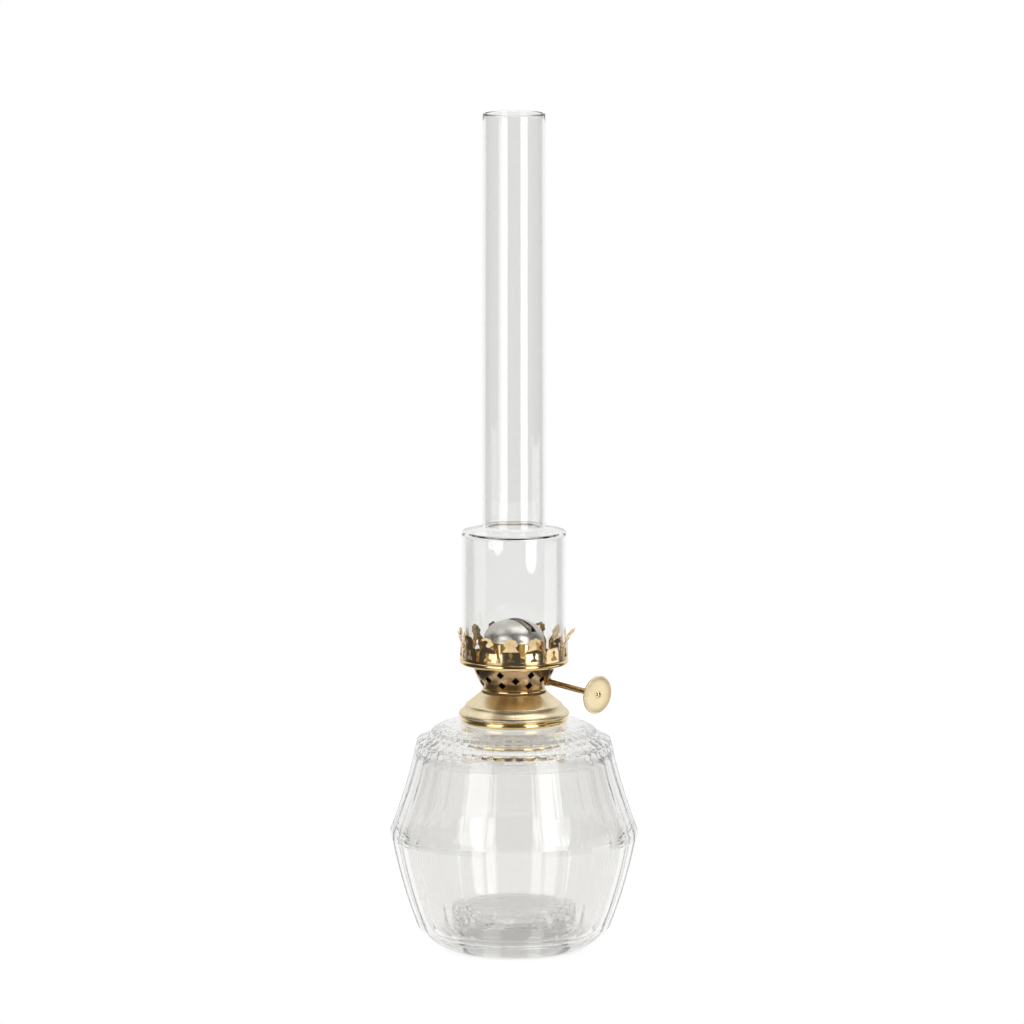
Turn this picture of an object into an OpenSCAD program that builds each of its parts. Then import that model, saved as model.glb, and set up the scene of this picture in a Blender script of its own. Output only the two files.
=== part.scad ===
// Table oil lamp with a fluted glass fount, a flat-wick brass burner and a tall glass chimney.
// Millimetres, +Z up. The origin is the centre of the fount's resting plane.
// The front of the lamp faces -Y. A bearing is an angle from the front, growing towards +X.

/* [Fount] */
// Number of flutes round the fount
flutes = 28; // [16:2:32]
// Bearing of the first arris
flute_bearing = 0; // [-6.4:0.1:6.4]
// Size across the arrises at the widest point
fount_across = 103.6; // [100:0.1:106]
// Height of the widest point
fount_widest_z = 48.7; // [44:0.1:54]
// Size across the arrises where the shoulder starts
shoulder_across = 82.2; // [80:0.1:84]
// Height where the shoulder starts
shoulder_z = 85.6; // [84:0.1:87]
// Height of the flat top of the shoulder, under the collar
shoulder_top_z = 95.2; // [95:0.1:95.2]
// Radius where the rounded heel leaves the resting plane
heel_in_r = 26; // [25.6:0.1:26.5]
// Radius where the heel meets the lower wall
heel_out_r = 41; // [40:0.1:42]
// Height where the heel meets the lower wall
heel_z = 9.6; // [9:0.1:11]
// Thickness of the fount's wall
fount_wall = 3.2; // [2.6:0.1:3.6]
// Height of the trough inside the heel
fount_floor_z = 6.8; // [6.5:0.1:7.5]
// Height of the pushed-up underside
punt_h = 14.6; // [13:0.1:15.5]
// Radius of the pushed-up underside at the resting plane
punt_r = 24.6; // [23:0.1:25]
// Outer radius of the neck
neck_r = 16.2; // [15.8:0.1:16.4]
// Radius of the neck's bore
neck_bore_r = 13.5; // [13.4:0.1:13.8]
// Height of the neck's rim
neck_z = 102.6; // [102:0.1:103]

/* [Collar] */
// Largest radius of the collar
collar_r = 23.1; // [22.9:0.1:23.4]
// Radius of the collar's top edge
collar_top_r = 13.9; // [13.8:0.1:14.1]
// Height of the collar's top face
collar_top_z = 108; // [107.8:0.1:108.1]
// Thickness of the collar's sheet
collar_sheet = 0.7; // [0.5:0.1:0.8]
// Radius of the wired lower edge's section
collar_bead_r = 1.45; // [1.3:0.05:1.5]
// Inner radius of the threaded sleeve
sleeve_r = 12.3; // [12.25:0.05:12.35]
// Thickness of the sealing washer
washer_t = 0.6; // [0.4:0.1:0.7]

/* [Burner] */
// Outer radius of the burner's screw ring
screw_ring_r = 12.22; // [12.2:0.01:12.22]
// Radius of the basket at its waist
basket_low_r = 12.95; // [12.8:0.05:13.1]
// Radius of the basket at its mouth
basket_high_r = 17.5; // [17.2:0.1:17.8]
// Height of the underside of the gallery
gallery_z = 119.9; // [119.7:0.1:120.1]
// Thickness of the basket's sheet
basket_sheet = 0.5; // [0.4:0.1:0.7]
// Holes in each row round the basket
basket_holes = 8; // [6:1:8]
// Diagonal of a basket hole
basket_hole_diagonal = 3.4; // [2:0.1:3.6]
// Outer radius of the gallery's bead
gallery_r = 22.8; // [22.7:0.1:23.2]
// Height of the ledge that the chimney stands on
seat_z = 122.5; // [122.3:0.1:122.7]

/* [Crown] */
// Number of prongs round the chimney
prongs = 14; // [10:1:14]
// Bearing of the first prong
prong_bearing = -3.7; // [-12:0.1:12]
// Height of a prong above the seat
prong_h = 11.5; // [10.5:0.1:12]
// Width of a prong at its foot
prong_w = 8.4; // [7.5:0.1:8.6]
// Thickness of the crown's sheet
crown_sheet = 0.4; // [0.3:0.05:0.45]
// Radius of the crown's sheet where it grips the chimney
crown_grip_r = 22.1; // [22.1:0.05:22.2]
// Radius of the crown's sheet at the prong tips
crown_tip_r = 24.4; // [23.5:0.1:25]

/* [Deflector] */
// Radius of the deflector's rim
dome_r = 12.75; // [12.5:0.05:13]
// Height of the deflector's rim
dome_z = 129.9; // [129:0.1:130.5]
// Height of the dome above its rim
dome_h = 8.8; // [8:0.1:9.5]
// Length of the slot that the wick burns in
slot_l = 22; // [21.8:0.1:22.4]
// Width of the slot
slot_w = 4.4; // [4.2:0.1:5]

/* [Wick and winder] */
// Bearing that the wick and its spindle lie along
wick_bearing = 44.4; // [40:0.1:50]
// Width of the wick
wick_w = 19.6; // [19:0.1:19.8]
// Thickness of the wick
wick_t = 2.4; // [2.2:0.1:2.5]
// Outer width of the wick tube
tube_w = 21.2; // [21:0.1:21.2]
// Outer thickness of the wick tube
tube_t = 4; // [3.9:0.1:4]
// Distance of the spindle from the lamp's axis
spindle_off = 6; // [5.9:0.1:6.2]
// Height of the spindle beside the wick
spindle_z = 114; // [113.9:0.1:114.2]
// Angle that the spindle slopes down towards its knob
spindle_tilt = 3.9; // [2:0.1:4]
// Radius of the spindle
spindle_r = 1.25; // [1.1:0.05:1.3]
// Distance from the wick's middle to the back of the knob
knob_at = 42.7; // [39:0.1:44]
// Radius of the knob
knob_r = 8; // [7:0.1:8.5]
// Thickness of the knob
knob_t = 1; // [0.8:0.1:1.5]
// Radius of the star wheels at their teeth
wheel_r = 4.7; // [4.5:0.05:4.72]
// Teeth on each star wheel
wheel_teeth = 12; // [8:1:16]

/* [Chimney] */
// Height of the chimney's rim above the resting plane
chimney_top_z = 349.6; // [330:0.1:360]
// Outer radius of the wide part
chimney_r = 21.75; // [21.6:0.05:21.75]
// Height of the shoulder's outer corner
chimney_shoulder_z = 176; // [170:0.1:177]
// Outer radius of the flue just above the shoulder
flue_low_r = 13.2; // [13:0.05:14]
// Outer radius of the flue at its rim
flue_high_r = 12.95; // [12.5:0.05:13.2]
// Thickness of the chimney's glass
chimney_wall = 1.35; // [1.1:0.05:1.4]

/* [Hidden] */
$fn = 96;
far = 200;             // longer than any cut needs
play = 0.05;           // running clearance on a radius

shoulder_r = shoulder_across / 2;
widest_r = fount_across / 2;
collar_bead_z = shoulder_top_z + collar_bead_r;
roll_r = 0.75;
roll_z = collar_bead_z + 2.2;
cone_knee = [20, 102.9];
plaster_r = collar_r - 3.8;
plaster_top_z = 104.9;
sleeve_wall = 0.8;
sleeve_bottom = 97.4;
washer_r = 13.25;
washer_z = collar_top_z;
waist_z = washer_z + washer_t;
waist_h = 1;
waist_step = 0.6;
basket_z = waist_z + waist_h;
basket_mid_r = 15;     // within the reach of every hole's cutter
screw_ring_wall = 0.6;
screw_ring_bottom = 98;
floor_z = 107.2;
floor_t = 0.8;
gallery_sheet = 0.6;
gallery_bead_r = 1.35;
gallery_floor_r = 21.5;
ledge_in_r = 20.3;
ledge_t = 0.5;
crown_band_h = 0.9;
crown_cut_from = 20;   // each prong's outline is cut through the sheet from here outwards
crown_cut = 7;
prong_foot_h = 3.6;
prong_neck_w = 5.2;
prong_head_z = prong_h - 2.8;
prong_lobe_r = 0.85;
prong_lobe_at = 1.95;  // from the head's middle to each lobe
screen_r = 15.6;
air_hole_r = 0.6;
vent_r = 1.2;
vent_at = -6.5;        // across the wick, away from the spindle
tube_wall = 0.4;
tube_bottom = 98;
tube_top = 133;
window_w = 1.8;
window_h = 7.8;
wick_bottom = 96.6;
wick_top = 136;
case_r = 5.15;
case_wall = 0.3;
case_l = 12;
bush_r = 1.8;
bush_at = 12;
bush_l = 2.6;
deflector_sheet = 0.5;
deflector_neck_z = 125;
spindle_end = 2;       // what shows of the spindle past the wheel case
retaining_r = 2.2;
retaining_t = 0.6;
wheel_t = 0.8;
wheel_tooth = 1.1;
wheel_spread = 4.5;    // from the wick's middle to each star wheel
knob_teeth = 72;
knob_tooth = 0.15;
rivet_r = 0.8;
rivet_l = 2;
rivet_dome_r = 1.55;
rivet_dome_sunk = 0.6;

// A point partway from a to b, t running from 0 to 1
function between(a, b, t) = a + (b - a) * t;

// Points on an arc about c, from angle a0 to angle a1
function arc(c, r, a0, a1, steps) =
  [for (i = [0:steps]) c + r * [cos(between(a0, a1, i / steps)), sin(between(a0, a1, i / steps))]];

// Points from a to b that bow out sideways by bow at the middle
function bowed(a, b, bow, steps) =
  [for (i = [0:steps]) between(a, b, i / steps) + [4 * bow * i / steps * (1 - i / steps), 0]];

// ---- fount ----

// The outside of the fount along an arris, as radius against height, from the foot to the neck
heel = [for (i = [0:7])
  let (r = between(heel_in_r, heel_out_r, i / 7))
  [r, heel_z * pow((r - heel_in_r) / (heel_out_r - heel_in_r), 2)]];
lower_wall = bowed([heel_out_r, heel_z], [widest_r, fount_widest_z - 1.6], 0.9, 5);
waist_edge = [[widest_r, fount_widest_z + 0.9]];
upper_wall = bowed([widest_r - 1, fount_widest_z + 3.7], [shoulder_r, shoulder_z], -0.75, 4);
terraces = [
  [shoulder_r - 0.4, shoulder_z + 2.2],
  [shoulder_r - 4.7, shoulder_top_z - 5.1], [shoulder_r - 6.5, shoulder_top_z - 4.2],
  [shoulder_r - 7.3, shoulder_top_z - 2.8], [shoulder_r - 10.1, shoulder_top_z - 1.3],
  [shoulder_r - 18, shoulder_top_z]
];
fount_outline = concat(heel, lower_wall, waist_edge, upper_wall, terraces);
punt = [
  [0, -1], [punt_r, -1], [punt_r, 0], [punt_r - 0.6, 2.5], [punt_r - 1.2, punt_h - 3],
  [punt_r - 2, punt_h - 1.2], [punt_r - 4, punt_h - 0.3], [0, punt_h + 0.4]
];
cavity = concat(
  [[0, punt_h + 4.9], [21, punt_h + 4.3], [25.4, punt_h + 3], [27.2, punt_h + 0.6], [28, punt_h - 4]],
  [[29.2, fount_floor_z + 1.6], [31, fount_floor_z], [33.5, fount_floor_z + 0.4]],
  [[36.4, fount_floor_z + 3.2]],
  bowed([38.6, 15], [widest_r - fount_wall - 1, fount_widest_z], 0.8, 4),
  bowed([widest_r - fount_wall - 1.8, fount_widest_z + 4], [shoulder_r - fount_wall - 0.9, shoulder_z - 5],
        -0.6, 3),
  [[33, shoulder_z - 0.6], [27, shoulder_z + 1.2], [16.4, shoulder_z + 2.6]],
  [[neck_bore_r, shoulder_z + 6], [neck_bore_r, neck_z + 1], [0, neck_z + 1]]
);

// One pair of opposite flats
module flute_pair(half)
  rotate([90, 0, 0])
    linear_extrude(height = far, center = true)
      polygon(concat(
        [for (p = half) [p.x * cos(180 / flutes), p.y]],
        [for (i = [len(half) - 1:-1:0]) [-half[i].x * cos(180 / flutes), half[i].y]]
      ));

module fluted_body()
  intersection_for (i = [0:flutes / 2 - 1])
    rotate([0, 0, flute_bearing + (i + 0.5) * 360 / flutes])
      flute_pair(fount_outline);

module fount() color("lightcyan") difference() {
  union() {
    fluted_body();
    translate([0, 0, shoulder_top_z - 1]) cylinder(r = neck_r, h = neck_z - shoulder_top_z + 1);
  }
  rotate_extrude() polygon(cavity);
  rotate_extrude() polygon(punt);
}

// ---- collar ----

// The cone's outer line, from the groove over the roll and up to the top edge
cone_line = concat(
  [[collar_r - 1.3, collar_bead_z + 1.4]],
  arc([collar_r - roll_r, roll_z], roll_r, -50, 40, 4),
  bowed([collar_r - 0.8, roll_z + 1.1], cone_knee, -0.5, 3),
  [[collar_top_r, collar_top_z - 0.1], [collar_top_r - 0.3, collar_top_z]]
);

module collar() color("goldenrod") rotate_extrude() {
  translate([collar_r - 0.7 - collar_bead_r, collar_bead_z]) circle(r = collar_bead_r, $fn = 48);
  polygon(concat(cone_line, [
    [sleeve_r + 0.1, collar_top_z], [sleeve_r + 0.1, collar_top_z - collar_sheet],
    [collar_top_r - 0.8, collar_top_z - collar_sheet],
    [cone_knee.x - 1, cone_knee.y - collar_sheet * 0.6],
    [collar_r - 1.7, roll_z + 0.9], [collar_r - 1.9, collar_bead_z + 1]
  ]));
}

module plaster_bed() color("gainsboro") rotate_extrude() polygon([
  [neck_r, shoulder_top_z], [plaster_r, shoulder_top_z], [plaster_r, roll_z + 0.3],
  [cone_knee.x - 2.2, cone_knee.y - 0.5], [collar_top_r + 1, plaster_top_z],
  [sleeve_r + sleeve_wall, plaster_top_z], [sleeve_r + sleeve_wall, neck_z], [neck_r, neck_z]
]);

module thread_sleeve() color("peru") rotate_extrude() {
  translate([sleeve_r, sleeve_bottom]) square([sleeve_wall, collar_top_z - collar_sheet - sleeve_bottom]);
}

module sealing_washer() color("saddlebrown") translate([0, 0, washer_z]) difference() {
  cylinder(r = washer_r, h = washer_t);
  translate([0, 0, -1]) cylinder(r = screw_ring_r + play, h = washer_t + 2);
}

// ---- burner body ----

module screw_ring() color("darkgoldenrod") rotate_extrude() {
  translate([screw_ring_r - screw_ring_wall, screw_ring_bottom])
    square([screw_ring_wall, basket_z - screw_ring_bottom]);
}

module waist_bead() color("gold") rotate_extrude() {
  translate([screw_ring_r, waist_z]) square([waist_step, waist_h]);
  translate([screw_ring_r + waist_step, waist_z + waist_h / 2]) circle(r = waist_h / 2, $fn = 32);
}

basket_line = bowed([basket_low_r, basket_z], [basket_high_r, gallery_z], 0.55, 6);

// The basket's wall, closed at the bottom by a flange on the screw ring
module basket_wall() rotate_extrude() polygon(concat(
  basket_line,
  [for (i = [len(basket_line) - 1:-1:1]) basket_line[i] - [basket_sheet, 0]],
  [[basket_low_r - 0.4, basket_z + basket_sheet], [screw_ring_r - screw_ring_wall, basket_z + basket_sheet],
   [screw_ring_r - screw_ring_wall, basket_z]]
));

// A ring of diamond holes at height z, the first at the bearing given, leaving out any listed in skip
module hole_ring(z, bearing, skip = [])
  for (i = [0:basket_holes - 1])
    if (len(search(i, skip)) == 0)
      rotate([0, 0, bearing + i * 360 / basket_holes])
        translate([0, -basket_mid_r, z])
          rotate([0, 45, 0])
            cube([basket_hole_diagonal / sqrt(2), 8, basket_hole_diagonal / sqrt(2)], center = true);

module basket() color("goldenrod") difference() {
  basket_wall();
  hole_ring(117.2, -20);
  hole_ring(114.7, 2.5);
  hole_ring(112.5, -20, [2]);
  in_spindle_frame(bush_at - 4) cylinder(r = bush_r, h = bush_l + 8);
}

module gallery_seat() color("gold") rotate_extrude() {
  translate([screen_r, gallery_z]) square([gallery_floor_r - screen_r, gallery_sheet]);
  translate([gallery_r - gallery_bead_r, seat_z - gallery_bead_r]) circle(r = gallery_bead_r, $fn = 48);
  translate([ledge_in_r, seat_z - ledge_t]) square([gallery_r - 0.35 - ledge_in_r, ledge_t]);
  translate([ledge_in_r, gallery_z]) square([0.8, seat_z - gallery_z]);
}

// ---- crown ----

// The crown's sheet, as radius against height above the seat
crown_line = [
  [crown_grip_r + 0.2, 0], [crown_grip_r + 0.1, 2.5], [crown_grip_r, 5], [crown_grip_r + 0.25, 7.2],
  [between(crown_grip_r, crown_tip_r, 0.45), 9.4], [crown_tip_r, prong_h]
];

module crown_sheet_of_revolution() translate([0, 0, seat_z]) rotate_extrude() polygon(concat(
  [for (p = crown_line) p + [crown_sheet / 2, 0]],
  [for (i = [len(crown_line) - 1:-1:0]) crown_line[i] - [crown_sheet / 2, 0]]
));

// The flat outline of one prong: a broad foot, a neck and a scalloped head
module prong_outline() difference() {
  union() {
    translate([-prong_w / 2, -1]) square([prong_w, prong_foot_h + 1]);
    intersection() {
      translate([0, prong_foot_h - 0.2]) circle(r = prong_w / 2, $fn = 48);
      translate([-prong_w / 2, prong_foot_h - 0.6]) square([prong_w, 4.2]);
    }
    translate([-prong_neck_w / 2, prong_foot_h]) square([prong_neck_w, prong_head_z - prong_foot_h]);
    for (a = [0:45:180])
      translate([prong_lobe_at * cos(a), prong_head_z + prong_lobe_at * sin(a)])
        circle(r = prong_lobe_r, $fn = 32);
    translate([0, prong_head_z]) circle(r = 2.2, $fn = 32);
  }
  translate([0, 4.2]) circle(r = 0.85, $fn = 32);
  polygon([
    [-1.85, 1.2], [1.85, 1.2], [1.5, 2.2], [0.5, 2.7],
    [0.45, 4.2], [-0.45, 4.2], [-0.5, 2.7], [-1.5, 2.2]
  ]);
}

module gallery_crown() color("gold") intersection() {
  crown_sheet_of_revolution();
  union() {
    translate([0, 0, seat_z]) cylinder(r = far, h = crown_band_h);
    for (i = [0:prongs - 1])
      rotate([0, 0, prong_bearing + i * 360 / prongs])
        translate([0, -crown_cut_from, seat_z])
          rotate([90, 0, 0])
            linear_extrude(height = crown_cut)
              prong_outline();
  }
}

// ---- inside the burner ----

// Turns to the wick's own frame: X along the wick's width, Y through its thickness
module in_wick_frame() rotate([0, 0, wick_bearing - 90]) children();

// Z runs along the spindle towards the knob, starting at the distance given from the wick's middle
module in_spindle_frame(at)
  in_wick_frame()
    translate([0, spindle_off, spindle_z])
      rotate([0, 90 + spindle_tilt, 0])
        translate([0, 0, at])
          children();

// A flat oval of the width and thickness given
module oval(w, t) {
  square([w - t, t], center = true);
  for (side = [-1, 1]) translate([side * (w - t) / 2, 0]) circle(r = t / 2, $fn = 32);
}

module air_screen() color("tan") translate([0, 0, gallery_z]) difference() {
  cylinder(r = screen_r, h = gallery_sheet);
  in_wick_frame() translate([0, 0, -1]) linear_extrude(height = 3) oval(tube_w, tube_t);
  for (ring = [[14, 30], [12.1, 26]], i = [0:ring[1] - 1])
    rotate([0, 0, i * 360 / ring[1]]) translate([ring[0], 0, -1]) cylinder(r = air_hole_r, h = 3, $fn = 16);
  in_wick_frame() for (side = [-1, 1], x = [-6:2:6])
    translate([x, side * 5, -1]) cylinder(r = air_hole_r, h = 3, $fn = 16);
}

module burner_floor() color("darkgoldenrod") translate([0, 0, floor_z]) difference() {
  cylinder(r = screw_ring_r - screw_ring_wall, h = floor_t);
  in_wick_frame() translate([0, 0, -1]) linear_extrude(height = 3) oval(tube_w, tube_t);
  in_wick_frame() translate([0, vent_at, -1]) cylinder(r = vent_r, h = 3, $fn = 32);
}

module vent_tube() color("tan") in_wick_frame() translate([0, vent_at, floor_z - 4]) difference() {
  cylinder(r = vent_r, h = 12, $fn = 32);
  translate([0, 0, -1]) cylinder(r = vent_r - tube_wall, h = 14, $fn = 32);
}

module wick_tube() color("tan") in_wick_frame() difference() {
  translate([0, 0, tube_bottom]) linear_extrude(height = tube_top - tube_bottom) difference() {
    oval(tube_w, tube_t);
    oval(tube_w - 2 * tube_wall, tube_t - 2 * tube_wall);
  }
  for (side = [-1, 1])
    translate([side * wheel_spread - window_w / 2, 0, spindle_z - window_h / 2])
      cube([window_w, tube_t, window_h]);
}

module wheel_case() color("darkgoldenrod") difference() {
  in_spindle_frame(-case_l / 2) cylinder(r = case_r, h = case_l);
  in_spindle_frame(case_wall - case_l / 2) cylinder(r = case_r - case_wall, h = case_l - 2 * case_wall);
  in_spindle_frame(-case_l) cylinder(r = spindle_r + play, h = 2 * case_l);
  in_wick_frame() translate([-20, tube_t / 2 - 20, 90]) cube([40, 20, 40]);
}

module spindle_bush() color("darkgoldenrod") difference() {
  in_spindle_frame(bush_at) cylinder(r = bush_r, h = bush_l);
  in_spindle_frame(bush_at - 1) cylinder(r = spindle_r + play, h = bush_l + 2);
}

// ---- deflector ----

module deflector_ring() color("gold") rotate_extrude() polygon([
  [screen_r - 0.1, gallery_z + gallery_sheet], [dome_r, deflector_neck_z], [dome_r, dome_z],
  [dome_r - deflector_sheet, dome_z], [dome_r - deflector_sheet, deflector_neck_z - 0.2],
  [screen_r - 0.7, gallery_z + gallery_sheet]
]);

module deflector_dome() color("silver") difference() {
  translate([0, 0, dome_z]) rotate_extrude() polygon(concat(
    [[dome_r - 0.2 - deflector_sheet, 0], [dome_r, 0]],
    [for (a = [0:7.5:90]) [(dome_r - 0.2) * cos(a), 0.5 + (dome_h - 0.5) * sin(a)]],
    [for (a = [90:-7.5:0])
      [(dome_r - 0.2 - deflector_sheet) * cos(a), 0.5 + (dome_h - 0.5 - deflector_sheet) * sin(a)]]
  ));
  in_wick_frame() translate([-slot_l / 2, -slot_w / 2, dome_z + 2]) cube([slot_l, slot_w, 20]);
}

// ---- winder ----

module spindle() color("goldenrod") difference() {
  in_spindle_frame(-case_l / 2 - spindle_end)
    cylinder(r = spindle_r, h = knob_at + case_l / 2 + spindle_end);
  in_spindle_frame(knob_at - rivet_l) cylinder(r = rivet_r, h = rivet_l + 1);
}

module retaining_washer() color("silver") in_spindle_frame(-case_l / 2 - 1.1) difference() {
  cylinder(r = retaining_r, h = retaining_t);
  translate([0, 0, -1]) cylinder(r = spindle_r, h = 3);
}

// A disc whose edge is cut into pointed teeth
module toothed_disc(outer, inner, teeth, thickness)
  linear_extrude(height = thickness)
    polygon([for (i = [0:2 * teeth - 1])
      let (r = i % 2 == 0 ? outer : inner, a = i * 180 / teeth) [r * cos(a), r * sin(a)]]);

module star_wheels() color("silver")
  for (side = [-1, 1]) in_spindle_frame(side * wheel_spread - wheel_t / 2) difference() {
    toothed_disc(wheel_r, wheel_r - wheel_tooth, wheel_teeth, wheel_t);
    translate([0, 0, -1]) cylinder(r = spindle_r, h = 3);
  }

module knob() color("gold") in_spindle_frame(knob_at) difference() {
  toothed_disc(knob_r, knob_r - knob_tooth, knob_teeth, knob_t);
  translate([0, 0, -1]) cylinder(r = rivet_r, h = 3);
}

module knob_rivet() color("gold") {
  in_spindle_frame(knob_at - rivet_l) cylinder(r = rivet_r, h = rivet_l + knob_t);
  in_spindle_frame(knob_at + knob_t) rotate_extrude()
    intersection() {
      translate([0, -rivet_dome_sunk]) circle(r = rivet_dome_r, $fn = 48);
      square(2 * rivet_dome_r);
    }
}

module wick() color("ivory") in_wick_frame()
  translate([0, 0, wick_bottom]) linear_extrude(height = wick_top - wick_bottom) oval(wick_w, wick_t);

// ---- chimney ----

shoulder_corner_r = 1.4;
inner_corner_r = 0.8;
flue_fillet_r = 1.3;
flue_start_z = chimney_shoulder_z + 2.6;
chimney_outside = concat(
  [[chimney_r, seat_z]],
  arc([chimney_r - shoulder_corner_r, chimney_shoulder_z - shoulder_corner_r], shoulder_corner_r, 0, 80, 4),
  arc([flue_low_r + flue_fillet_r, flue_start_z], flue_fillet_r, 260, 180, 4)
);
chimney_inside = concat(
  arc([flue_low_r + flue_fillet_r, flue_start_z], flue_fillet_r + chimney_wall, 180, 260, 4),
  arc([chimney_r - chimney_wall - inner_corner_r, chimney_shoulder_z - chimney_wall - inner_corner_r],
      inner_corner_r, 80, 0, 3),
  [[chimney_r - chimney_wall, seat_z]]
);

module chimney() color("azure") rotate_extrude() polygon(concat(
  chimney_outside,
  arc([flue_high_r - chimney_wall / 2, chimney_top_z - chimney_wall / 2], chimney_wall / 2, 0, 180, 6),
  chimney_inside
));

fount();
collar();
plaster_bed();
thread_sleeve();
sealing_washer();
screw_ring();
waist_bead();
basket();
gallery_seat();
gallery_crown();
air_screen();
burner_floor();
vent_tube();
wick_tube();
wheel_case();
spindle_bush();
deflector_ring();
deflector_dome();
spindle();
retaining_washer();
star_wheels();
knob();
knob_rivet();
wick();
chimney();
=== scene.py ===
"""Looks for a table oil lamp: fluted glass fount, flat-wick brass burner, tall glass chimney.

Shapes are in millimetres, and a profile's points are (radius, height). Materials, lights, the floor and the
camera are placed in metres. Bearings run from the front (-Y) towards +X, in degrees.
"""

import math

import bmesh
import bpy
import numpy as np
from mathutils import Matrix, Vector
from mathutils.geometry import delaunay_2d_cdt


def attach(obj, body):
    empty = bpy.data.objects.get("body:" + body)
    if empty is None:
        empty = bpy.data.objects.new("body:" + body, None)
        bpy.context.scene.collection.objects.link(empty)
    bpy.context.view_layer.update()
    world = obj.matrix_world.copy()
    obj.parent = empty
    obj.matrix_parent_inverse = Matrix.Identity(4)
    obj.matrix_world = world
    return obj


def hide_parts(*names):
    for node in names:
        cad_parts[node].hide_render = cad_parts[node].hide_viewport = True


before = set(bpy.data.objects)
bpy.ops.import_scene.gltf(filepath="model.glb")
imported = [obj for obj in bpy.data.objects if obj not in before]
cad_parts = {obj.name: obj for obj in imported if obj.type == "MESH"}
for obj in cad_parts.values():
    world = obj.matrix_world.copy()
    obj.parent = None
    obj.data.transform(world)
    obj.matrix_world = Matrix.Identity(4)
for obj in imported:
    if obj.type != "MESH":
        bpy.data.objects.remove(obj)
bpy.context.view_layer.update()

MM = 0.001
WELD = 1e-6  # vertices closer than this, in metres, are merged
FILLET_STEPS = 4
WICK_BEARING = 44.4  # the wick's width and the spindle both lie along this bearing
rng = np.random.default_rng(7)

# ---------------------------------------------------------------- shapes


def bowed(a, b, bow, n):
    """Points from a to b whose radius bows out by bow at the middle."""
    t = np.linspace(0, 1, n + 1)
    return [(a[0] + (b[0] - a[0]) * k + 4 * bow * k * (1 - k), a[1] + (b[1] - a[1]) * k) for k in t]


def arc(c, r, a0, a1, n):
    """Points on an arc about c, from angle a0 to a1."""
    return [
        (c[0] + r * math.cos(math.radians(a)), c[1] + r * math.sin(math.radians(a)))
        for a in np.linspace(a0, a1, n + 1)
    ]


def smooth(points, n):
    """A Catmull-Rom curve through the points, with n steps between each two."""
    p = [np.array(q, float) for q in points]
    p = [2 * p[0] - p[1], *p, 2 * p[-1] - p[-2]]
    out = []
    for i in range(1, len(p) - 2):
        for k in range(n):
            t = k / n
            out.append(
                0.5
                * (
                    2 * p[i]
                    + (p[i + 1] - p[i - 1]) * t
                    + (2 * p[i - 1] - 5 * p[i] + 4 * p[i + 1] - p[i + 2]) * t * t
                    + (3 * p[i] - p[i - 1] - 3 * p[i + 1] + p[i + 2]) * t**3
                )
            )
    out.append(p[-2])
    return [tuple(q) for q in out]


def rounded(points):
    """An open polyline with its corners filleted; a point is (r, z), or (r, z, fillet radius)."""
    out, last = [], len(points) - 1
    for i, q in enumerate(points):
        radius = q[2] if len(q) > 2 else 0
        if not radius or i in (0, last):
            out.append(q[:2])
            continue
        c = np.array(q[:2], float)
        a = np.array(points[i - 1][:2], float) - c
        b = np.array(points[i + 1][:2], float) - c
        a, b = a / np.linalg.norm(a), b / np.linalg.norm(b)
        half = math.acos(max(-1.0, min(1.0, float(a @ b)))) / 2
        d = radius / math.tan(half)
        centre = c + (a + b) / np.linalg.norm(a + b) * radius / math.sin(half)
        s, e = c + a * d - centre, c + b * d - centre
        turn = math.acos(max(-1.0, min(1.0, float(s @ e) / radius**2)))
        sign = 1 if s[0] * e[1] - s[1] * e[0] > 0 else -1
        a0 = math.atan2(s[1], s[0])
        for k in range(FILLET_STEPS + 1):
            w = a0 + sign * turn * k / FILLET_STEPS
            out.append((centre[0] + radius * math.cos(w), centre[1] + radius * math.sin(w)))
    return out


def placed(name, data):
    """Puts a mesh, light or camera into the scene as an object."""
    ob = bpy.data.objects.new(name, data)
    bpy.context.scene.collection.objects.link(ob)
    return ob


def shade(me, sharp):
    """Welds a mesh, turns its normals outwards and shades it smoothly up to the sharp angle."""
    bm = bmesh.new()
    bm.from_mesh(me)
    bmesh.ops.remove_doubles(bm, verts=bm.verts, dist=WELD)
    bmesh.ops.recalc_face_normals(bm, faces=bm.faces)
    bm.to_mesh(me)
    bm.free()
    me.shade_smooth()
    me.set_sharp_from_angle(angle=math.radians(sharp))


def finish_mesh(name, verts, faces, sharp):
    """A shaded object from vertices in millimetres."""
    me = bpy.data.meshes.new(name)
    me.from_pydata([tuple(c * MM for c in v) for v in verts], [], faces)
    shade(me, sharp)
    return placed(name, me)


def lathe(profile, seg=192, radius=None, matrix=None):
    """Vertices and faces of a profile turned about Z; an end on the axis closes to a point.

    radius(i, r, z, bearings) may change ring i's radii.
    """
    b = np.arange(seg) * 2 * np.pi / seg
    verts, rings = [], []
    for i, (r, z) in enumerate(profile):
        if r < 1e-6:
            rings.append([len(verts)])
            verts.append((0.0, 0.0, z))
            continue
        rr = np.full(seg, r) if radius is None else radius(i, r, z, b)
        rings.append(list(range(len(verts), len(verts) + seg)))
        verts.extend(zip(rr * np.sin(b), -rr * np.cos(b), np.full(seg, z)))
    faces = []
    closed = profile[0][0] > 1e-6
    for i in range(len(rings) - (0 if closed else 1)):
        a, c = rings[i], rings[(i + 1) % len(rings)]
        for k in range(seg):
            m = (k + 1) % seg
            if len(a) == 1:
                faces.append((a[0], c[k], c[m]))
            elif len(c) == 1:
                faces.append((a[k], a[m], c[0]))
            else:
                faces.append((a[k], a[m], c[m], c[k]))
    if matrix is not None:
        verts = [tuple(matrix @ Vector(v)) for v in verts]
    return verts, faces


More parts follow.
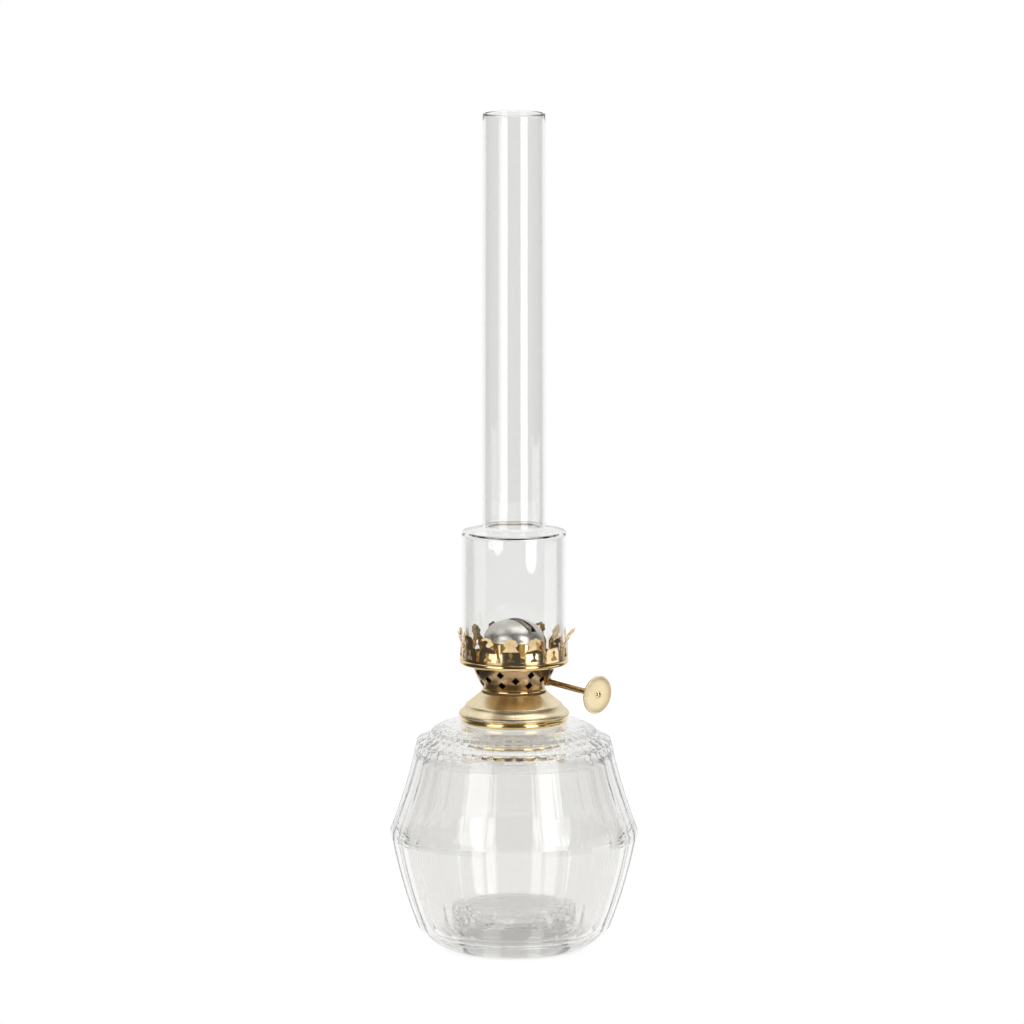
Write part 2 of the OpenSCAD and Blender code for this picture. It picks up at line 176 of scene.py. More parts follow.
def turned(name, profile, sharp=35, **how):
    """An object turned on the lathe."""
    return finish_mesh(name, *lathe(profile, **how), sharp=sharp)


def piece(ob, body, mat, node):
    """Puts a finished piece on its body, in place of a CAD node."""
    ob.data.materials.clear()
    ob.data.materials.append(mat)
    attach(ob, body)
    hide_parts(node)


def softened(node, name, sharp):
    """A copy of a CAD node's mesh, welded and smoothly shaded."""
    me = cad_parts[node].data.copy()
    shade(me, sharp)
    me.name = name
    return placed(name, me)


# ---------------------------------------------------------------- materials


class Nodes:
    """Short ways to add nodes to a tree."""

    def __init__(self, tree):
        self.tree = tree

    def node(self, kind, inputs=None, **props):
        """Adds a node; an input is a value, or a socket to link from."""
        n = self.tree.nodes.new(kind)
        for k, v in props.items():
            setattr(n, k, v)
        for k, v in (inputs or {}).items():
            if isinstance(v, bpy.types.NodeSocket):
                self.tree.links.new(v, n.inputs[k])
            else:
                n.inputs[k].default_value = v
        return n

    def calc(self, operation, *values):
        return self.node("ShaderNodeMath", dict(enumerate(values)), operation=operation).outputs[0]

    def dot(self, a, b):
        return self.node("ShaderNodeVectorMath", {0: a, 1: b}, operation="DOT_PRODUCT").outputs["Value"]

    def length(self, vector):
        return self.node("ShaderNodeVectorMath", {0: vector}, operation="LENGTH").outputs["Value"]

    def spread(self, fac, lo, hi, a=0.35, b=0.65, **props):
        """Goes from lo to hi as fac goes from a to b."""
        return self.node(
            "ShaderNodeMapRange",
            {"Value": fac, "From Min": a, "From Max": b, "To Min": lo, "To Max": hi},
            **props,
        ).outputs["Result"]


class Look(Nodes):
    """A node material under construction."""

    def __init__(self, name):
        self.mat = bpy.data.materials.new(name)
        self.mat.use_nodes = True
        super().__init__(self.mat.node_tree)
        self.bsdf = self.tree.nodes["Principled BSDF"]
        self.at = self.node("ShaderNodeTexCoord").outputs["Object"]

    def set(self, **values):
        """Sets or links the shader's own sockets."""
        for k, v in values.items():
            socket = self.bsdf.inputs[k.replace("_", " ")]
            if isinstance(v, bpy.types.NodeSocket):
                self.tree.links.new(v, socket)
            else:
                socket.default_value = v

    def xyz(self):
        return self.node("ShaderNodeSeparateXYZ", {"Vector": self.at}).outputs

    def noise(self, scale, detail=3.0, rough=0.55, at=None):
        inputs = {"Scale": scale, "Detail": detail, "Roughness": rough, "Vector": at or self.at}
        return self.node("ShaderNodeTexNoise", inputs).outputs["Fac"]

    def noise_along(self, w, scale, detail):
        """Noise that changes along one value only."""
        inputs = {"W": w, "Scale": scale, "Detail": detail}
        return self.node("ShaderNodeTexNoise", inputs, noise_dimensions="1D").outputs["Fac"]

    def stretched(self, x, y, z):
        return self.node("ShaderNodeMapping", {"Vector": self.at, "Scale": (x, y, z)}).outputs["Vector"]

    def from_axis(self, xyz):
        """The distance of a point from the lamp's axis."""
        return self.length(self.node("ShaderNodeCombineXYZ", {"X": xyz["X"], "Y": xyz["Y"]}).outputs[0])

    def rings(self, scale):
        """Noise that is the same all round the lamp's axis, as a lathe leaves it."""
        xyz = self.xyz()
        return self.noise_along(self.calc("MULTIPLY_ADD", xyz["Z"], 1.6, self.from_axis(xyz)), scale, 2.0)

    def bearing(self):
        """The bearing of a point round the lamp's axis, in radians."""
        xyz = self.xyz()
        return self.calc("ARCTAN2", xyz["X"], self.calc("MULTIPLY", xyz["Y"], -1.0))

    def stripe(self, bearing, at, half, strength):
        """A soft upright stripe at one bearing."""
        away = self.calc("ABSOLUTE", self.calc("SUBTRACT", bearing, at))
        return self.spread(away, strength, 0.0, half * 0.3, half)

    def mix(self, fac, a, b):
        """Colour a where fac is 0, colour b where it is 1."""
        n = self.node("ShaderNodeMix", data_type="RGBA", clamp_factor=True)
        for i, v in ((0, fac), (6, a), (7, b)):
            if isinstance(v, bpy.types.NodeSocket):
                self.tree.links.new(v, n.inputs[i])
            else:
                n.inputs[i].default_value = (*v, 1) if isinstance(v, tuple) else v
        return n.outputs[2]

    def bump(self, height, strength, distance, on=None):
        """A bump with its distance in millimetres, on top of another one if given."""
        inputs = {"Height": height, "Strength": strength, "Distance": distance * MM}
        if on is not None:
            inputs["Normal"] = on
        return self.node("ShaderNodeBump", inputs).outputs["Normal"]


GOLD, PALE = (0.85, 0.66, 0.34), (0.86, 0.74, 0.50)
# Dark brown of the painted reflection bands; near black of sooting and painted shade inside hollows
PAINTED_REFLECTION_TONE, SOOT_AND_SHADE_TONE = (0.30, 0.19, 0.11), (0.03, 0.026, 0.022)
POLISHED_ROUGH, SOOT_ROUGH, GRAIN = 0.12, 0.7, 0.06


def metal(
    name, fresh, aged, rough, turned_marks, age,
    marks_scale=2600.0, aniso=0.0, inner=None, painted_reflections=(), shine_below=0.0,
):
    """Metal with patches of tarnish, soft wear in its gloss and, if turned, fine rings from the lathe.

    Faces that look towards the axis at height inner are sooty, and darkened further as painted shade. Each
    painted reflection is an upright dark band: its bearing and half width in radians, and its strength. The
    metal is polished below the height shine_below.
    """
    look = Look(name)
    cloud = look.noise(85.0, 5.0, 0.6)
    fine = look.noise(1400.0, 4.0, 0.65)
    tone = look.mix(look.spread(cloud, 0.0, age, 0.38, 0.68), fresh, aged)
    tone = look.mix(look.spread(fine, 0.0, 0.25, 0.56, 0.74), tone, aged)
    gloss = look.spread(cloud, *rough)
    if painted_reflections:
        bearing = look.bearing()
        # Random upright streaks round the axis: uneven lacquer, and partly painted sheen streaks of spun
        # brass
        lacquer_and_sheen_streaks = look.noise_along(bearing, 9.0, 4.0)
        tone = look.mix(look.spread(lacquer_and_sheen_streaks, 0.0, 0.5, 0.48, 0.72), tone, aged)
        for stripe in painted_reflections:
            # Painted reflection: an upright dark band where the dark basket is mirrored
            tone = look.mix(look.stripe(bearing, *stripe), tone, PAINTED_REFLECTION_TONE)
    if shine_below:
        shine = look.spread(look.xyz()["Z"], 1.0, 0.0, shine_below - 0.0004, shine_below)
        gloss = look.spread(shine, gloss, POLISHED_ROUGH, 0.0, 1.0)
        tone = look.mix(shine, tone, GOLD)
    normal = look.bump(fine, GRAIN, 0.02)
    if inner:
        # Faces looking towards the axis at height inner: sooty, and darkened as painted shade inside the
        # hollow
        facing = look.node("ShaderNodeTexCoord").outputs["Normal"]
        centre = {0: look.at, 1: (0, 0, inner)}
        apart = look.node("ShaderNodeVectorMath", centre, operation="SUBTRACT").outputs[0]
        hidden = look.spread(look.dot(apart, facing), 1.0, 0.0, -0.006, -0.004)
        tone = look.mix(hidden, tone, SOOT_AND_SHADE_TONE)
        gloss = look.spread(hidden, gloss, SOOT_ROUGH, 0.0, 1.0)
    if turned_marks:
        normal = look.bump(look.rings(marks_scale), turned_marks, 0.03, on=normal)
    look.set(Base_Color=tone, Metallic=1.0, Roughness=gloss, Normal=normal)
    if aniso:
        tangent = look.node("ShaderNodeTangent", direction_type="RADIAL", axis="Z")
        look.set(Anisotropic=aniso, Tangent=tangent.outputs[0])
    return look.mat


# Where the painted shade over the raised underside fades out, from the axis and upwards
DRUM_R, DRUM_Z = (0.0280, 0.0300), (0.019, 0.022)


def glass(name, tint, shade_tint, ior, wave_scale, wave, seeds=0.0, underside_shade=None):
    """Clear glass with slow ripples and fine dust; over the raised underside it may get a darker tone,
    painted shade.
    """
    look = Look(name)
    slow = look.noise(wave_scale, 2.0, 0.5, at=look.stretched(1, 1, 0.35))
    dust = look.noise(260.0, 6.0, 0.7)
    tone = look.mix(look.spread(dust, 0.0, 1.0, 0.3, 0.7), tint, shade_tint)
    normal = look.bump(slow, wave, 0.6)
    if underside_shade:
        # Painted shade: the glass is darker over the raised underside, near the axis and low down
        xyz = look.xyz()
        near = look.spread(look.from_axis(xyz), 1.0, 0.0, *DRUM_R)
        low = look.spread(xyz["Z"], 1.0, 0.0, *DRUM_Z)
        tone = look.mix(look.calc("MULTIPLY", near, low), tone, underside_shade)
    if seeds:
        cells = look.node("ShaderNodeTexVoronoi", {"Vector": look.at, "Scale": 190.0})
        pits = look.spread(cells.outputs["Distance"], 1.0, 0.0, 0.0, 0.12)
        normal = look.bump(pits, seeds, 0.05, on=normal)
    look.set(Base_Color=tone, Roughness=look.spread(dust, 0.0, 0.012, 0.45, 0.8), Normal=normal)
    look.set(IOR=ior, Transmission_Weight=1.0)
    return look.mat


# name, fresh and aged colours, range of roughness, strength of lathe marks, age
polished = metal("polished_brass", GOLD, (0.60, 0.40, 0.18), (0.09, 0.17), 0.10, 0.6)
satin = metal(
    "satin_brass", PALE, (0.70, 0.56, 0.34), (0.26, 0.34), 0.2, 0.4,
    # The band at bearing -0.30 is a painted reflection of the dark basket
    marks_scale=1900.0, aniso=0.7, painted_reflections=((-0.30, 0.20, 0.6),), shine_below=0.0983,
)
crown_brass = metal("crown_brass", (0.87, 0.68, 0.39), (0.50, 0.31, 0.15), (0.12, 0.19), 0.0, 0.8)
knob_brass = metal("pale_satin_brass", (0.86, 0.72, 0.46), (0.74, 0.58, 0.32), (0.3, 0.38), 0.0, 0.5)
basket_brass = metal(
    "browned_brass", (0.52, 0.36, 0.19), (0.30, 0.18, 0.09), (0.12, 0.20), 0.12, 0.7, inner=0.112
)
dull = metal("dull_brass", (0.58, 0.42, 0.2), (0.33, 0.22, 0.1), (0.35, 0.5), 0.0, 0.8)
copper = metal("spindle_brass", (0.58, 0.41, 0.23), (0.4, 0.25, 0.12), (0.18, 0.28), 0.0, 0.6)
nickel = metal("nickel", (0.80, 0.78, 0.73), (0.62, 0.60, 0.55), (0.34, 0.42), 0.08, 0.5, inner=0.128)
# Near black for the burner's inner parts: sooting, and painted shade inside the burner
sooty_and_shaded = metal("sooty_shaded_metal", (0.06, 0.055, 0.05), (0.02, 0.018, 0.016), (0.6, 0.8), 0.0, 0.8)
steel = metal("steel", (0.55, 0.55, 0.55), (0.35, 0.34, 0.33), (0.3, 0.4), 0.0, 0.6)
fount_glass = glass(
    "fount_glass", (0.892, 0.888, 0.872), (0.868, 0.864, 0.85), 1.5, 34.0, 0.10,
    seeds=0.05, underside_shade=(0.80, 0.797, 0.785),
)
chimney_glass = glass("chimney_glass", (0.935, 0.935, 0.926), (0.915, 0.915, 0.906), 1.47, 22.0, 0.03)


def plaster_painted_glow_look():
    look = Look("plaster")
    lumps, fine = look.noise(420.0, 6.0, 0.7), look.noise(2600.0, 3.0)
    look.set(Base_Color=look.mix(lumps, (0.74, 0.71, 0.64), (0.88, 0.86, 0.8)), Roughness=0.9)
    look.set(Normal=look.bump(fine, 0.5, 0.1, on=look.bump(lumps, 0.6, 0.3)))
    # Painted light: the plaster glows though it is no lamp
    look.set(Emission_Color=(0.95, 0.93, 0.88, 1), Emission_Strength=0.36)
    return look.mat


def fibre_look():
    look = Look("washer_fibre")
    hairs = look.noise(900.0, 5.0, 0.7, at=look.stretched(1, 1, 5))
    look.set(Base_Color=look.mix(hairs, (0.10, 0.05, 0.03), (0.24, 0.14, 0.08)), Roughness=0.75)
    look.set(Normal=look.bump(hairs, 0.6, 0.15))
    return look.mat


def cotton_look():
    look = Look("wick_cotton")
    turn = (0, 0, math.radians(90 - WICK_BEARING))
    flat_on = look.node("ShaderNodeMapping", {"Vector": look.at, "Rotation": turn}).outputs[0]
    threads = []
    for direction, scale, distortion in (("X", 190.0, 1.2), ("Z", 160.0, 1.0)):
        inputs = {"Vector": flat_on, "Scale": scale, "Distortion": distortion}
        threads.append(look.node("ShaderNodeTexWave", inputs, bands_direction=direction).outputs["Fac"])
    weave = look.calc("MULTIPLY", *threads)
    fuzz = look.noise(1800.0, 5.0, 0.7)
    clean = look.mix(weave, (0.62, 0.56, 0.45), (0.86, 0.82, 0.72))
    charred = look.spread(look.xyz()["Z"], 0, 0.12, 0.1335, 0.136)
    look.set(Base_Color=look.mix(charred, clean, (0.2, 0.16, 0.12)), Roughness=0.95)
    look.set(Normal=look.bump(fuzz, 0.4, 0.1, on=look.bump(weave, 0.8, 0.25)))
    return look.mat


plaster, fibre, cotton = plaster_painted_glow_look(), fibre_look(), cotton_look()

# ---------------------------------------------------------------- fount

FLUTES, WIDEST_R, WIDEST_Z = 28, 51.8, 48.7
HEEL_IN, HEEL_OUT, HEEL_Z, SHOULDER_R, SHOULDER_Z, SHOULDER_TOP = 26.0, 41.0, 9.6, 41.1, 85.6, 95.2
NECK_FOOT_R, NECK_R, NECK_BORE, NECK_TOP = 17.2, 16.2, 13.5, 102.6
FLAT = math.pi / FLUTES  # half the angle of one flat
RIPPLE_DEPTH, RIPPLE_R, RIPPLE_Z = 0.045, 25, 17  # the wavy edge of the raised underside
LOBE_DEPTH, LOBE_INSET, STEP_INSET = 0.012, 0.013, 0.006  # the terraces' scallops, as shares of the radius
HEEL_INSET = 0.004

# The outside runs from the raised underside (punt) up to the neck, then the inside runs down again.
punt = smooth([(0, 15.0), (10, 14.8), (20.4, 14.3), (22.4, 13.6), (23.3, 11.6), (23.9, 3.0)], 5)
foot = rounded([(23.9, 3.0), (24.6, 0, 0.5), (26, 0, 0.6), (28.5, 0.5)])[1:-1]
heel = [(r, HEEL_Z * ((r - HEEL_IN) / (HEEL_OUT - HEEL_IN)) ** 2) for r in np.linspace(27.6, HEEL_OUT, 12)]
lower = bowed((HEEL_OUT, HEEL_Z), (WIDEST_R - 0.1, WIDEST_Z - 2), 0.9, 18)[1:]
crest = [(WIDEST_R, WIDEST_Z - 1.6), (WIDEST_R, WIDEST_Z + 0.9), (WIDEST_R - 0.25, WIDEST_Z + 1.6)]
upper = bowed((WIDEST_R - 1.0, 52.4), (SHOULDER_R, SHOULDER_Z), -0.75, 16)
steps = rounded(
    [
        (SHOULDER_R, SHOULDER_Z),
        (SHOULDER_R - 0.4, SHOULDER_Z + 2.2, 0.6),
        (SHOULDER_R - 4.7, SHOULDER_TOP - 5.1, 1.5),
        (SHOULDER_R - 6.5, SHOULDER_TOP - 4.2, 0.4),
        (SHOULDER_R - 7.3, SHOULDER_TOP - 2.8, 0.6),
        (SHOULDER_R - 10.1, SHOULDER_TOP - 1.3, 1.0),
        (SHOULDER_R - 12.1, SHOULDER_TOP - 0.7, 0.5),
        (SHOULDER_R - 18, SHOULDER_TOP, 1.0),
        (NECK_FOOT_R, SHOULDER_TOP),
    ]
)[1:]
neck = rounded(
    [
        (NECK_FOOT_R, SHOULDER_TOP),
        (NECK_R, SHOULDER_TOP, 0.6),
        (NECK_R, NECK_TOP, 0.5),
        (NECK_BORE, NECK_TOP, 0.5),
        (NECK_BORE, 96),
    ]
)[1:]
cavity_wall = smooth(
    [(NECK_BORE, 96), (13.8, 91.4), (16.4, 88.3), (21, 87.3), (27, 86.6), (33, 84.9), (37.0, 80.2)]
    + bowed((38.3, 76.2), (46.6, 53.4), -0.45, 4)
    + bowed((47.5, 48.4), (38.6, 15), 0.8, 6)
    + [(36.4, 10.2), (33.8, 7.6), (31.2, 7.0), (29.2, 8.6), (28.1, 11.5), (27.4, 15.2)],
    5,
)[1:]
cavity_floor = rounded([(27.4, 15.2), (26.6, 18.0, 0.4), (20, 18.9), (10, 19.4), (0, 19.5)])[1:]
fount_line = punt + foot + heel + lower + crest + upper + steps + neck + cavity_wall + cavity_floor
first_out = len(punt) + len(foot)
last_out = first_out + len(heel) + len(lower) + len(crest) + len(upper) + len(steps)


def fluted(i, r, z, bearings):
    """Flutes outside that fade out at the foot, and scallops on the terraces and the raised underside."""
    if i < len(punt) or i > last_out:
        edge = math.exp(-((r - RIPPLE_R) / 4) ** 2 - ((z - RIPPLE_Z) / 5) ** 2)
        return r * (1 - RIPPLE_DEPTH * edge * np.abs(np.sin(bearings * 9 + 0.6)) ** 0.8)
    if not first_out <= i < last_out:
        return np.full(len(bearings), r)
    if z > SHOULDER_Z + 1:
        lobes = LOBE_DEPTH * np.abs(np.sin(bearings * FLUTES)) ** 0.7
        fade = min(1.0, max(0.0, (r - 21) / 4))
        return r * (1 - (STEP_INSET * (1 - fade)) - fade * (LOBE_INSET - lobes))
    across = (bearings / (2 * FLAT)) % 1.0 * 2 - 1
    groove = 1 - math.cos(FLAT) / np.cos(across * FLAT)
    share = min(1.0, max(0.0, (z - 1.5) / 7.0)) ** 0.7
    return r * (1 - share * groove - (1 - share) * HEEL_INSET)


piece(
    turned("fount_glass_body", fount_line, sharp=11, seg=FLUTES * 18, radius=fluted),
    "fount", fount_glass, "fount",
)

# ---------------------------------------------------------------- collar and neck fittings

COLLAR_R, BEAD_R, ROLL_R, COLLAR_TOP = 23.1, 1.45, 0.75, 108.0
bead_c, roll_c = (COLLAR_R - 0.7 - BEAD_R, SHOULDER_TOP + BEAD_R), (COLLAR_R - ROLL_R, 98.85)
collar_line = (
    arc(bead_c, BEAD_R, 160, 415, 26)
    + arc(roll_c, ROLL_R, -55, 35, 8)
    + bowed((22.6, 99.9), (20.0, 102.9), -0.35, 8)
    + bowed((19.7, 103.15), (14.25, 107.62), -0.06, 8)
    + arc((13.75, 107.55), 0.45, 45, 90, 4)
    + [(12.4, COLLAR_TOP), (12.4, 107.3), (13.1, 107.3), (19.0, 102.5), (21.4, 100.2), (21.15, 98.0)]
)
piece(turned("collar_spun", collar_line, seg=224), "fount", satin, "collar")
waist_line = [(12.22, 108.62), *arc((12.82, 109.1), 0.49, -90, 90, 14), (12.22, 109.58)]
piece(turned("waist_ring", waist_line, seg=192), "burner", polished, "waist_bead")

# ---------------------------------------------------------------- gallery and basket

GALLERY_Z, SEAT_Z, GALLERY_R, GALLERY_BEAD = 119.9, 122.5, 22.8, 1.35
GALLERY_HOLE_R, LEDGE_R, SHEET_TOP = 15.6, 20.3, GALLERY_Z + 0.6
bead_at = (GALLERY_R - GALLERY_BEAD, SEAT_Z - GALLERY_BEAD)
ledge = [(21.4, SEAT_Z), (LEDGE_R, SEAT_Z, 0.2), (LEDGE_R, SHEET_TOP, 0.2), (GALLERY_HOLE_R, SHEET_TOP)]
gallery_line = (
    [(GALLERY_HOLE_R, GALLERY_Z), (18.2, GALLERY_Z), (19.4, GALLERY_Z + 0.05)]
    + arc(bead_at, GALLERY_BEAD, -150, 88, 26)
    + rounded(ledge)[1:]
)
piece(turned("gallery_bead", gallery_line, seg=224), "burner", polished, "gallery_seat")
piece(softened("basket", "basket_pierced", 30), "burner", basket_brass, "basket")

# ---------------------------------------------------------------- crown

PRONGS, PRONG_BEARING, PRONG_H, PRONG_W, CROWN_SHEET = 14, -3.7, 11.5, 8.3, 0.4
GRIP_R, TIP_R, HEAD_Z = 22.1, 24.4, 8.7
LOBE_AT, LOBE_R = 1.95, 0.85  # the scallops round a prong's head
GRID, CLEAR_OF_EDGE = 0.55, 0.06  # spacing of a prong's inner points; least squared distance to its edges


def inside(p, loop):
    """Whether point p is inside the closed loop."""
    x, y, found = p[0], p[1], False
    for (x0, y0), (x1, y1) in zip(loop, loop[1:] + loop[:1]):
        if (y0 > y) != (y1 > y) and x < (x1 - x0) * (y - y0) / (y1 - y0) + x0:
            found = not found
    return found


def prong_side():
    """The right-hand edge of a prong, from its foot to the middle of its head."""
    edge = [(PRONG_W / 2, -0.3), (PRONG_W / 2, 1.5), (PRONG_W / 2, 3.3)]
    edge += [(4.05, 4.3), (3.75, 5.0), (3.3, 5.8), (2.75, 6.35), (2.25, 6.8), (2.3, 7.2)]
    for a, start, end in ((0, -95, 68), (45, -22, 112), (90, 22, 90)):
        c = (LOBE_AT * math.cos(math.radians(a)), HEAD_Z + LOBE_AT * math.sin(math.radians(a)))
        edge += arc(c, LOBE_R, start, end, 7)
    return edge


right = prong_side()
prong_loop = right + [(-x, z) for x, z in reversed(right[:-1])]
pawn = [(-1.8, 1.1), (1.8, 1.1), (1.6, 1.9), (1.0, 2.45), (0.5, 2.8), (0.45, 3.5)]
pawn += arc((0, 4.2), 0.85, -55, 235, 12) + [(-0.45, 3.5), (-0.5, 2.8), (-1.0, 2.45), (-1.6, 1.9)]


def flat_prong():
    """A prong's flat sheet as points and triangles, fine enough to bend."""
    pts, edges = [], []
    for loop in (prong_loop, pawn):
        n = len(pts)
        pts += loop
        edges += [(n + k, n + (k + 1) % len(loop)) for k in range(len(loop))]
    outline = list(pts)
    for z in np.arange(0.3, PRONG_H, GRID):
        for x in np.arange(-3.85, 3.9, GRID):
            q = (float(x), float(z))
            near = min((q[0] - a) ** 2 + (q[1] - b) ** 2 for a, b in outline)
            if near > CLEAR_OF_EDGE and inside(q, prong_loop) and not inside(q, pawn):
                pts.append(q)
    out = delaunay_2d_cdt([Vector(p) for p in pts], edges, [], 0, 1e-5)
    flat = [tuple(v) for v in out[0]]
    tris = []
    for t in out[2]:
        c = (sum(flat[k][0] for k in t) / 3, sum(flat[k][1] for k in t) / 3)
        if inside(c, prong_loop) and not inside(c, pawn):
            tris.append(tuple(t))
    return flat, tris


def crown_radius(h, tip):
    """Radius of the crown's sheet at height h above the seat, for a prong whose tip is at radius tip."""
    line = [(-0.5, 22.32), (0, 22.3), (2.5, 22.2), (5, GRIP_R), (7.2, GRIP_R + 0.25)]
    base = float(np.interp(min(h, 7.2), [p[0] for p in line], [p[1] for p in line]))
    k = min(1.0, max(0.0, (h - 5.6) / (PRONG_H - 5.6)))
    return base + (tip - GRIP_R - 0.25) * k**1.7


def crown():
    """The bent prongs and the band they stand on. The tips stand out more on the right, as in the photo."""
    flat, tris = flat_prong()
    rim = {}
    for t in tris:
        for a, b in ((t[0], t[1]), (t[1], t[2]), (t[2], t[0])):
            rim[(a, b)] = (b, a) not in rim
            if not rim[(a, b)]:
                rim[(b, a)] = False
    verts, faces = [], []
    for i in range(PRONGS):
        bearing = PRONG_BEARING + i * 360 / PRONGS
        side = math.sin(math.radians(bearing))
        bent = (0.9 if side > 0.8 else 0) - (0.35 if side < -0.8 else 0)
        tip = TIP_R + 0.45 * side + bent + rng.uniform(-0.2, 0.2)
        lean, base = rng.uniform(-0.8, 0.8), len(verts)
        for off in (CROWN_SHEET / 2, -CROWN_SHEET / 2):
            for x, h in flat:
                away = math.hypot(x, h - HEAD_Z)
                dish = 0.25 * max(0.0, 1 - (away / 1.3) ** 2)
                r = crown_radius(h, tip) + off + dish
                a = math.radians(bearing + lean * max(0, h - 5) / 6) + x / GRIP_R
                verts.append((r * math.sin(a), -r * math.cos(a), SEAT_Z + max(h, 0.0)))
        n = len(flat)
        faces += [(base + a, base + b, base + c) for a, b, c in tris]
        faces += [(base + n + c, base + n + b, base + n + a) for a, b, c in tris]
        faces += [(base + b, base + a, base + n + a, base + n + b) for (a, b), lone in rim.items() if lone]
    band_top = SEAT_Z + 0.9
    band, band_faces = lathe([(22.08, SEAT_Z), (22.52, SEAT_Z), (22.5, band_top), (22.1, band_top)], 224)
    n = len(verts)
    return verts + band, faces + [tuple(k + n for k in f) for f in band_faces]


piece(
    finish_mesh("crown_prongs", *crown(), sharp=40),
    "burner", crown_brass, "gallery_crown",
)

# ---------------------------------------------------------------- winder

SPINDLE_OFF, SPINDLE_Z, SPINDLE_TILT, KNOB_AT = 6.0, 114.0, 3.9, 42.7
SPINDLE_R, RIVET_R, RIVET_SUNK = 1.25, 0.8, 2
wick_frame = Matrix.Rotation(math.radians(WICK_BEARING - 90), 4, "Z")
spindle_frame = (
    wick_frame
    @ Matrix.Translation((0, SPINDLE_OFF, SPINDLE_Z))
    @ Matrix.Rotation(math.radians(90 + SPINDLE_TILT), 4, "Y")
)
KNOB_R, KNOB_T, REEDS, REED_DEPTH = 8.0, 1.0, 72, 0.15


def reeded(i, r, z, bearings):
    """Fine reeds on the knob's edge, fading out towards its faces."""
    if r < KNOB_R - 0.6:
        return np.full(len(bearings), r)
    return r - REED_DEPTH * (0.5 + 0.5 * np.cos(bearings * REEDS)) * min(1.0, (r - KNOB_R + 0.6) / 0.5)


knob_face = [(7.3, KNOB_T), (7.1, 0.93), (4.0, 0.9), (2.0, 0.93), (RIVET_R, KNOB_T)]
knob_line = (
    [(RIVET_R, KNOB_AT), (3.0, KNOB_AT), (7.2, KNOB_AT)]
    + arc((KNOB_R - 0.3, KNOB_AT + 0.3), 0.3, -90, 0, 4)
    + arc((KNOB_R - 0.3, KNOB_AT + KNOB_T - 0.3), 0.3, 0, 90, 4)
    + [(r, KNOB_AT + z) for r, z in knob_face]
)
piece(
    turned("knob_disc", knob_line, seg=REEDS * 6, radius=reeded, matrix=spindle_frame),
    "winder", knob_brass, "knob",
)
rivet_line = [(0, KNOB_AT - RIVET_SUNK), (RIVET_R, KNOB_AT - RIVET_SUNK), (RIVET_R, KNOB_AT + 1.0)]
rivet_line += [(1.5, KNOB_AT + 1.0), *arc((0, KNOB_AT + 0.45), 1.6, 20, 90, 10)[:-1], (0, KNOB_AT + 2.05)]
piece(
    turned("knob_rivet_head", rivet_line, seg=64, matrix=spindle_frame),
    "winder", polished, "knob_rivet",
)
spindle_line = rounded(
    [
        (0.0, -8.0),
        (SPINDLE_R, -8.0, 0.25),
        (SPINDLE_R, KNOB_AT, 0.1),
        (RIVET_R, KNOB_AT),
        (RIVET_R, KNOB_AT - RIVET_SUNK),
        (0, KNOB_AT - RIVET_SUNK),
    ]
)
piece(
    turned("spindle_rod", spindle_line, seg=48, matrix=spindle_frame),
    "winder", copper, "spindle",
)

# ---------------------------------------------------------------- deflector, wick and hidden parts

piece(softened("deflector_dome", "dome_slotted", 34), "burner", nickel, "deflector_dome")
piece(softened("deflector_ring", "dome_ring", 30), "burner", polished, "deflector_ring")

HIDDEN = {  # node: (body, slot, look)
    "plaster_bed": ("fount", "plaster", plaster),
    "thread_sleeve": ("fount", "dull_brass", dull),
    "sealing_washer": ("washer", "washer_fibre", fibre),
    "screw_ring": ("burner", "dull_brass", dull),
    "air_screen": ("burner", "dull_brass", sooty_and_shaded),
    "burner_floor": ("burner", "dull_brass", sooty_and_shaded),
    "vent_tube": ("burner", "dull_brass", sooty_and_shaded),
    "wick_tube": ("burner", "dull_brass", sooty_and_shaded),
    "wheel_case": ("burner", "dull_brass", sooty_and_shaded),
    "spindle_bush": ("burner", "dull_brass", dull),
    "retaining_washer": ("winder", "steel", steel),
    "star_wheels": ("winder", "steel", steel),
}
for node, (body, slot, look) in HIDDEN.items():
    piece(softened(node, node + "_smooth", 30), body, look, node)

WICK_W, WICK_T, WICK_BOTTOM, WICK_TOP, WICK_ROWS = 19.6, 2.4, 96.6, 136.0, 90
ARCH_Z, ARCH_RISE, ARCH_HALF_W = 130.25, 8.3, 12.55  # the wick's top, just under the dome's skin
WEAVE_DEPTH, FRAY = 0.03, 0.25


